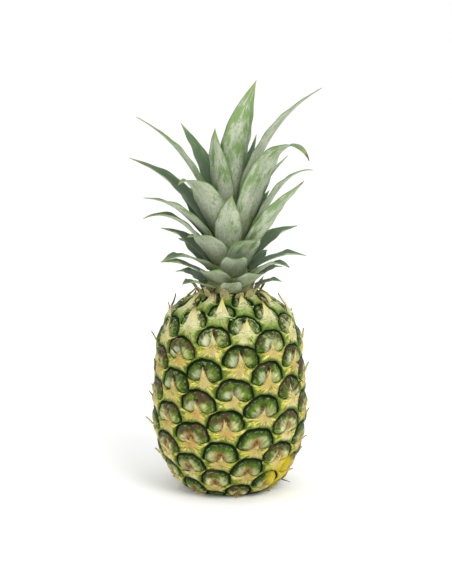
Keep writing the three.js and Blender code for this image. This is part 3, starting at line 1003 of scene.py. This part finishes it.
def scale_material(settings):
    """Dry papery scales, and the crown's stem, streaked along."""
    material, shader, surface = new_material("dry scale", 0.3)
    place = shader.object_place()
    x, y, z = place.parts()
    papery = place.noise(160, 3) + shader.attributes("wide")[0].step(0, 1, -0.35, 0.1)
    colour = shader.mix(papery, settings.stem, settings.scale)
    fibres = shader.vector(x * 900, y * 900, z * 140)
    colour, height = shader.group("fine fibres", Vector=fibres, Colour=colour, Depth=0.9)
    colour = shader.specked(place, colour, settings.scorched, 420, 0.6)
    rough = height.step(0.2, 0.8, 0.6, 0.85)
    shader.finish(surface, colour, rough, height, strength=0.5, depth=0.0004)
    return material


# ---- The rind ------------------------------------------------------------


def border_bulge(column, arc):
    """How far the border to the left of a column swings to the right, in widths of an eye."""
    up = (arc - FIRST_EYE_ARC) / EYE_PITCH
    left, right = (np.cos(2 * math.pi * (up + c * EYE_STAGGER)) for c in (column - 1, column))
    return BORDER_WAVE * (left - right) / 2


def row_arcs():
    """Distances up the rind of the rows of its mesh, those of the foot and the socket included."""
    step = EYE_PITCH / FACES_UP_EYE
    lowest = math.ceil(-FIRST_EYE_ARC / step)
    highest = math.floor((MERIDIAN_LENGTH - FIRST_EYE_ARC) / step)
    body = FIRST_EYE_ARC + step * np.arange(lowest, highest + 1)
    return np.concatenate([PROFILE_ARC[: len(FOOT)], body, PROFILE_ARC[-len(NECK):]])


def rind_grid(points, rows):
    """Angle, and distance up the rind, of each vertex of a flat grid one unit wide and high."""
    columns = EYE_COLUMNS * FACES_ACROSS_EYE
    i = np.round((points[:, 0] + 0.5) * columns)
    arc = rows[np.round((points[:, 1] + 0.5) * (len(rows) - 1)).astype(int)]
    column = np.minimum(i // FACES_ACROSS_EYE, EYE_COLUMNS - 1)
    share = i / FACES_ACROSS_EYE - column
    bulge = blend(border_bulge(column, arc), border_bulge(column + 1, arc), share)
    lean = COLUMN_LEAN * (arc - FIRST_EYE_ARC)
    return FIRST_EYE_ANGLE + lean + (column + share - 0.5 + bulge) * EYE_ANGLE, arc


def unwrap_eyes(mesh, angle, arc, settings):
    """Lays each face out in the widths and heights of the eye that it belongs to."""
    at = corners(mesh)
    sides = np.empty(len(mesh.polygons), np.int32)
    mesh.polygons.foreach_get("loop_total", sides)
    face = np.repeat(np.arange(len(sides)), sides)
    middles = [np.bincount(face, values[at]) / sides for values in (angle, arc)]
    owner = rind_shape(*middles, settings)
    u, v = in_eye(angle[at], arc[at], owner["column"][face], owner["level"][face])
    unwrap(mesh, "eye", np.stack([u, v], -1))


class PINEAPPLE_OT_rind(bpy.types.Operator):
    """Wrap a grid round the fruit and press the eyes and bracts into it"""

    bl_idname = "pineapple.rind"
    bl_label = "Rind"

    def execute(self, context):
        settings = context.scene.pineapple_rind
        rows = row_arcs()
        deselect()
        bpy.ops.mesh.primitive_grid_add(
            x_subdivisions=EYE_COLUMNS * FACES_ACROSS_EYE, y_subdivisions=len(rows) - 1, size=1
        )
        rind = added("rind")
        mesh = rind.data
        angle, arc = rind_grid(places(mesh), rows)
        shape = rind_shape(angle, arc, settings)
        unwrap_eyes(mesh, angle, arc, settings)
        tone = trait("tone", shape["column"], shape["level"])
        mark(mesh, rim=shape["rim"] / MILLIMETRE, over=shape["over"], tone=tone)
        put(mesh, on_rind(angle, arc, shape["lift"]))
        close_up(rind, 1e-5)
        finish_piece(rind, rind_material(settings), "rind", "fruit")
        return {"FINISHED"}


# ---- The bracts' spines --------------------------------------------------

SPINES_FROM = 0.006  # above the foot
SPINES_TO = 0.002  # under the neck
SPINE_SIDES = 8
SPINE_CUTS = 5
SPINE_FIT = 0.9  # its width, in shares of what the bract allows
SPINE_HELD = (0.95, 0.68)  # the share that follows the rind, on the body and on the shoulder
# From the root to the tip.
SPINE_THICKNESS = (0.0026, 0.001)
SPINE_LEAST = (0.0007, 0.0003)  # half width
SPINE_LIFT = (-0.002, 0.0004)
SPINE_LIFTED = (0.15, 0.6)  # shares of its length
# From the freshest to the driest, at the tip.
SPINE_CURL = (0.0008, 0.006)
SPINE_SWAY = (0.004, 0.012)
SPINE_RISE = (0.12, 0.3)  # from the flattest to the steepest
SPINE_AHEAD = 0.002  # up the rind, to find the way that a spine's free part goes
LEAST_RADIUS = 0.01
DRIEST = {"usual": 0.6, "shrivelled": 0.9, "from": (0.8, 0.92)}  # how brown the driest are


def spine_blank():
    """A round bar one unit long and wide, cut across so that it can bend."""
    deselect()
    bpy.ops.mesh.primitive_cylinder_add(
        vertices=SPINE_SIDES, radius=1, depth=1, end_fill_type="NGON"
    )
    blank = added("spine_blank")
    set_mode("EDIT")
    bpy.ops.mesh.select_all(action="DESELECT")
    set_mode("OBJECT")
    for edge in blank.data.edges:
        low, high = (blank.data.vertices[i].co.z for i in edge.vertices)
        edge.select = abs(high - low) > 0.5
    set_mode("EDIT")
    bpy.ops.mesh.select_mode(type="EDGE")
    bpy.ops.mesh.subdivide(number_cuts=SPINE_CUTS)
    set_mode("OBJECT")
    points = places(blank.data)[corners(blank.data)]
    unwrap(blank.data, "spine", np.stack([points[:, 0], points[:, 2] + 0.5], -1))
    bpy.ops.object.shade_smooth()
    return blank


def bend_spine(spine, column, level, settings):
    """Lays a spine on its eye: its root is in the bract, part of it follows the rind, and the rest
    goes straight on."""
    angle, arc = middle_of_eye(column, level)
    here = np.array(column), np.array(level)
    look = {name: float(trait(name, *here)) for name in TRAITS}
    tip = float(spine_tip(arc, *here, settings))
    high = smooth(arc, *SHOULDER)
    points = places(spine.data)
    along = points[:, 2] + 0.5
    root = arc + (SPINE_FOOT - look["rise"]) * EYE_PITCH
    length = (tip - SPINE_FOOT) * EYE_PITCH
    angle = angle + EYE_ANGLE * eye_shift(*here, (root - arc + along * length) / EYE_PITCH)
    held = blend(*SPINE_HELD, high) * length
    climb = np.minimum(along * length, held)
    free = along * length - climb
    v = SPINE_FOOT + along * length / EYE_PITCH
    half_width = SPINE_FIT * spine_half_width(v, tip, high) * girth_of_eye(root + climb)
    across = points[:, 0] * np.maximum(half_width, blend(*SPINE_LEAST, along))
    lift = blend(*SPINE_LIFT, smooth(along, *SPINE_LIFTED))
    lift = lift + blend(*SPINE_CURL, look["dryness"] ** 1.5) * along**2.5
    lift = lift + points[:, 1] * blend(*SPINE_THICKNESS, along) / 2
    sway = (look["bend"] - 0.5) * blend(*SPINE_SWAY, look["dryness"] ** 2) * along**2
    radius = np.maximum(LEAST_RADIUS, np.interp(root + climb, PROFILE_ARC, PROFILE[:, 0]))
    turn = angle + np.degrees((across + sway) / radius)
    base = on_rind(turn, root + climb, lift)
    rise = SPINE_AHEAD * blend(*SPINE_RISE, look["bend"])
    heading = unit(on_rind(turn, root + climb + SPINE_AHEAD, lift + rise) - base)
    put(spine.data, base + heading * free[:, None])
    dried = DRIEST["usual"] * look["dryness"] ** 2
    dried = dried + DRIEST["shrivelled"] * smooth(look["dryness"], *DRIEST["from"])
    mark(spine.data, tone=look["tone"], dryness=dried)


def eyes_of_fruit():
    """Column and level of every eye whose middle is on the rind."""
    for column in range(EYE_COLUMNS):
        for level in range(LOWEST_LEVEL, LOWEST_LEVEL + LEVELS):
            arc = middle_of_eye(column, level)[1]
            if SPINES_FROM < arc < MERIDIAN_LENGTH - SPINES_TO:
                yield column, level


class PINEAPPLE_OT_bract_spines(bpy.types.Operator):
    """Model one spine and lay a copy of it on every eye"""

    bl_idname = "pineapple.bract_spines"
    bl_label = "Bract Spines"

    def execute(self, context):
        settings = context.scene.pineapple_rind
        blank = spine_blank()
        spines = []
        for column, level in eyes_of_fruit():
            spine = copied(blank, "bract_spine")
            bend_spine(spine, column, level, settings)
            spines.append(spine)
        discard(blank)
        deselect()
        for spine in spines:
            spine.select_set(True)
        context.view_layer.objects.active = spines[0]
        bpy.ops.object.join()
        joined = added("bract_spines")
        close_up(joined, 1e-7)
        finish_piece(joined, spine_material(settings), "rind", "fruit")
        return {"FINISHED"}


# ---- The crown -----------------------------------------------------------


def grown(i, first, steady, faster):
    return first + steady * i + faster * i * i


def leaf_rule(i):
    """The shape of leaf i, counted from the lowest, in degrees and metres."""
    down = 1 - i / (LEAVES - 1)
    heart = float(smooth(i, *HEART["from"]))
    width = float(blend(LEAF_WIDTH["lowest"], LEAF_WIDTH["others"], smooth(i, *LEAF_WIDTH["from"])))
    rule = {
        "turn": 0,
        "length": grown(i, *LEAF_LENGTH) * (1 - HEART["shorter"] * heart),
        "width": width * (1 - HEART["narrower"] * heart),
        "lean": blend(*LEAF_LEAN[:2], down ** LEAF_LEAN[2]),
        "droop": blend(*LEAF_DROOP[:2], down ** LEAF_DROOP[2]),
        "bend": LEAF_BEND,
        "sway": 0,
        "rubbed": RUBBED_LEAVES.get(i, RUBBED),
        "dried": float(i in DRIED_TIPS),
        "foot": grown(i, *LEAF_FOOT_RADIUS),
        "height": grown(i, *LEAF_FOOT_HEIGHT),
        **LEAF_CHANGES.get(i, {}),
    }
    rule["length"] *= MILLIMETRE
    rule["width"] *= MILLIMETRE
    rule["angle"] = FIRST_LEAF_ANGLE + i * LEAF_TURN + rule["turn"]
    return rule


def leaf_directions(rule, t):
    """A leaf's tilt, and the directions along it, across it and out of its upper face, at shares t
    of its length."""
    tilt = np.radians(blend(rule["lean"], rule["droop"], t ** rule["bend"]))
    out = polar(1.0, np.array([rule["angle"]]), 0.0)[0]
    level = np.broadcast_to([-out[1], out[0], 0.0], (len(t), 3))
    rising = out * np.sin(tilt)[:, None] + np.array([0, 0, 1.0]) * np.cos(tilt)[:, None]
    up = np.cross(rising, level)
    swing = np.radians(rule["sway"] * t * t)[:, None]
    along = rising * np.cos(swing) + np.cross(up, rising) * np.sin(swing)
    across = level * np.cos(swing) + np.cross(up, level) * np.sin(swing)
    return tilt, along, across, up


def leaf_midline(rule, t):
    """Points of a leaf's middle line at shares t of its length."""
    spacing, fewest, most = (LEAF_STATIONS[k] for k in ("spacing", "fewest", "most"))
    steps = int(np.clip(rule["length"] / spacing + 0.5, fewest, most)) * LEAF_STATIONS["substeps"]
    shares = np.arange(steps) / steps
    along = leaf_directions(rule, shares)[1] * rule["length"] / steps
    start = polar(rule["foot"], np.array([rule["angle"]]), rule["height"])
    line = np.vstack([start, start + np.cumsum(along, axis=0)])
    return np.stack([np.interp(t, np.append(shares, 1), line[:, k]) for k in range(3)], -1)


def leaf_half_width(rule, t):
    foot = min(rule["width"], LEAF_FOOT_WIDTH * rule["foot"])
    body = blend(foot, rule["width"], smooth(t, *LEAF_BROAD))
    tip = np.minimum(1, (1 - t) / LEAF_TAPER["length"])
    return np.maximum(LEAF_TIP_WIDTH, body * (1 - (1 - tip) ** 2) ** LEAF_TAPER["power"]) / 2


def bend_leaf(leaf, rule, settings, seed):
    """Bends a flat blank, one unit wide and long, into a leaf of the crown."""
    x, y, z = places(leaf.data).T
    q, t, side = 2 * x, y + 0.5, 2 * z - 1
    tilt, _, across, up = leaf_directions(rule, t)
    point = leaf_midline(rule, t)
    cone = np.hypot(point[:, 0], point[:, 1]) / np.maximum(LEAST_COSINE, np.cos(tilt))
    hollow = np.minimum(cone, GUTTER["radius"] * rule["width"])
    gutter = blend(cone, hollow, smooth(t, *GUTTER["from"]))
    turn = q * leaf_half_width(rule, t) / gutter
    middle = blend(settings.foot_thickness, settings.tip_thickness, t)
    thickness = blend(middle, settings.edge_thickness, np.abs(q) ** 1.5)
    thickness = thickness * smooth(LEAF_END["past_tip"] - t, 0, LEAF_END["length"])
    waves = np.sin(2 * math.pi * (t * rule["length"] / RIPPLE["length"] + seed)) * np.sign(q)
    waves = waves * np.abs(q) ** RIPPLE["power"] * smooth(t, *RIPPLE["rise"])
    ripple = settings.ripple * waves * smooth(1 - t, *RIPPLE["fall"])
    r = gutter - side * thickness / 2 - ripple
    shift = across * (r * np.sin(turn))[:, None] + up * (gutter - r * np.cos(turn))[:, None]
    put(leaf.data, point + shift)
    long, wide = rule["length"] / MILLIMETRE, rule["width"] / MILLIMETRE
    dried, rubbed = rule["dried"], rule["rubbed"]
    mark(leaf.data, inner=z, tone=seed, long=long, wide=wide, rubbed=rubbed, dried=dried)


def leaf_blank(across, along):
    """A flat closed slab, one unit wide, long and thick, cut into strips both ways."""
    deselect()
    bpy.ops.mesh.primitive_grid_add(x_subdivisions=across, y_subdivisions=along, size=1)
    blank = added("leaf_blank")
    set_mode("EDIT")
    bpy.ops.mesh.select_all(action="SELECT")
    bpy.ops.mesh.extrude_region_move(TRANSFORM_OT_translate={"value": (0, 0, 1)})
    bpy.ops.mesh.select_all(action="SELECT")
    bpy.ops.mesh.normals_make_consistent(inside=True)
    set_mode("OBJECT")
    bpy.ops.object.shade_smooth()
    points = places(blank.data)[corners(blank.data)]
    unwrap(blank.data, "leaf", points[:, :2] + 0.5)
    return blank


class PINEAPPLE_OT_crown_leaves(bpy.types.Operator):
    """Model one flat leaf and bend a copy of it for each leaf of the crown"""

    bl_idname = "pineapple.crown_leaves"
    bl_label = "Crown Leaves"

    def execute(self, context):
        settings = context.scene.pineapple_crown
        material = leaf_material(settings)
        blank = leaf_blank(*LEAF_FACES)
        seeds = np.random.default_rng(SEED + 1).random(LEAVES)
        for i in range(LEAVES):
            node = f"leaf_{i + 1:02d}"
            leaf = copied(blank, "crown_" + node)
            bend_leaf(leaf, leaf_rule(i), settings, float(seeds[i]))
            finish_piece(leaf, material, "leaf", node)
        discard(blank)
        return {"FINISHED"}


class PINEAPPLE_OT_crown_stem(bpy.types.Operator):
    """Finish the crown's stem and set dry scales round its foot"""

    bl_idname = "pineapple.crown_stem"
    bl_label = "Crown Stem"

    def execute(self, context):
        settings = context.scene.pineapple_crown
        material = scale_material(settings)
        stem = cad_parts["crown_stem"]
        stem.data.materials.clear()
        stem.data.materials.append(material)
        blank = leaf_blank(*SCALE_FACES)
        random = np.random.default_rng(SEED + 2)
        for i in range(SCALES):
            turn, *chances = random.random(1 + len(SCALE_RULE))
            ranges = zip(SCALE_RULE.items(), chances)
            rule = {name: blend(*span, chance) for (name, span), chance in ranges}
            rule["angle"] = (i + SCALE_SCATTER * turn) * 360 / SCALES
            rule["foot"] = blend(*SCALE_FOOT, chances[-1])
            rule["height"] = FRUIT_HEIGHT - SCALE_DEPTH
            rule.update(bend=SCALE_BEND, rubbed=0, dried=0)
            scale = copied(blank, f"crown_scale_{i + 1:02d}")
            bend_leaf(scale, rule, settings, float(turn))
            finish_piece(scale, material, "crown_stem")
        discard(blank)
        return {"FINISHED"}


# ---- The stage -----------------------------------------------------------

CAMERA_DISTANCE = 1.3
CAMERA_DOWN = 10  # degrees
CAMERA_TARGET = (-0.0026, 0, 0.148)
FLOOR_WIDTH = 120
# Square soft lights that face the fruit: where they are, and how wide.
LIGHTS = {"key": ((0.7, -1.2, 1.4), 0.8), "fill": ((-1.2, -0.7, 0.8), 1.2)}
LIT_POINT = (0, 0, 0.15)


def floor_material(settings):
    material, shader, surface = new_material("stage floor", 0.2)
    shade = shader.object_place().noise(3).step(0, 1, 0.985, 1.0)
    shader.feed(surface["Base Color"], shader.scaled(tuple(settings.floor), shade))
    surface["Roughness"].default_value = 0.9
    return material


def add_light(name, power):
    place, width = LIGHTS[name]
    bpy.ops.object.light_add(type="AREA", location=place)
    light = bpy.context.object
    light.name = name + "_light"
    light.data.energy = power
    light.data.size = width
    aim(light, LIT_POINT)


def aim(thing, target):
    x, y, z = (a - b for a, b in zip(target, thing.location))
    thing.rotation_euler = (math.atan2(math.hypot(x, y), -z), 0, math.atan2(-x, y))


class PINEAPPLE_OT_stage(bpy.types.Operator):
    """Set up the floor, the lights and the camera"""

    bl_idname = "pineapple.stage"
    bl_label = "Stage"

    def execute(self, context):
        settings = context.scene.pineapple_stage
        deselect()
        bpy.ops.mesh.primitive_plane_add(size=FLOOR_WIDTH)
        floor = added("stage_floor")
        floor.data.materials.append(floor_material(settings))
        add_light("key", settings.key)
        add_light("fill", settings.fill)
        world = bpy.data.worlds.new("studio")
        world.use_nodes = True
        sky = world.node_tree.nodes["Background"].inputs
        sky["Color"].default_value = (1, 1, 1, 1)
        sky["Strength"].default_value = settings.sky
        context.scene.world = world
        down = math.radians(CAMERA_DOWN)
        x, y, z = CAMERA_TARGET
        place = (x, y - CAMERA_DISTANCE * math.cos(down), z + CAMERA_DISTANCE * math.sin(down))
        bpy.ops.object.camera_add(location=place)
        camera = context.object
        camera.name = "camera"
        camera.data.lens = settings.lens
        aim(camera, CAMERA_TARGET)
        context.scene.camera = camera
        context.scene.view_settings.view_transform = "Standard"
        return {"FINISHED"}


# ---- The add-on ----------------------------------------------------------

STEPS = (
    PINEAPPLE_OT_rind,
    PINEAPPLE_OT_bract_spines,
    PINEAPPLE_OT_crown_leaves,
    PINEAPPLE_OT_crown_stem,
    PINEAPPLE_OT_stage,
)
SETTINGS = {
    "pineapple_rind": PineappleRindSettings,
    "pineapple_crown": PineappleCrownSettings,
    "pineapple_stage": PineappleStageSettings,
}


class PINEAPPLE_PT_panel(bpy.types.Panel):
    bl_idname = "PINEAPPLE_PT_panel"
    bl_label = "Pineapple"
    bl_space_type = "VIEW_3D"
    bl_region_type = "UI"
    bl_category = "Pineapple"

    def draw(self, context):
        for step in STEPS:
            self.layout.operator(step.bl_idname)
        for name, group in SETTINGS.items():
            box = self.layout.box()
            for setting in group.__annotations__:
                box.prop(getattr(context.scene, name), setting)


def register():
    for cls in (*SETTINGS.values(), *STEPS, PINEAPPLE_PT_panel):
        bpy.utils.register_class(cls)
    for name, group in SETTINGS.items():
        setattr(bpy.types.Scene, name, bpy.props.PointerProperty(type=group))


def unregister():
    for name in SETTINGS:
        delattr(bpy.types.Scene, name)
    for cls in (PINEAPPLE_PT_panel, *reversed(STEPS), *SETTINGS.values()):
        bpy.utils.unregister_class(cls)


def main():
    register()
    bpy.ops.pineapple.rind()
    bpy.ops.pineapple.bract_spines()
    bpy.ops.pineapple.crown_leaves()
    bpy.ops.pineapple.crown_stem()
    bpy.ops.pineapple.stage()


if __name__ == "__main__":
    main()
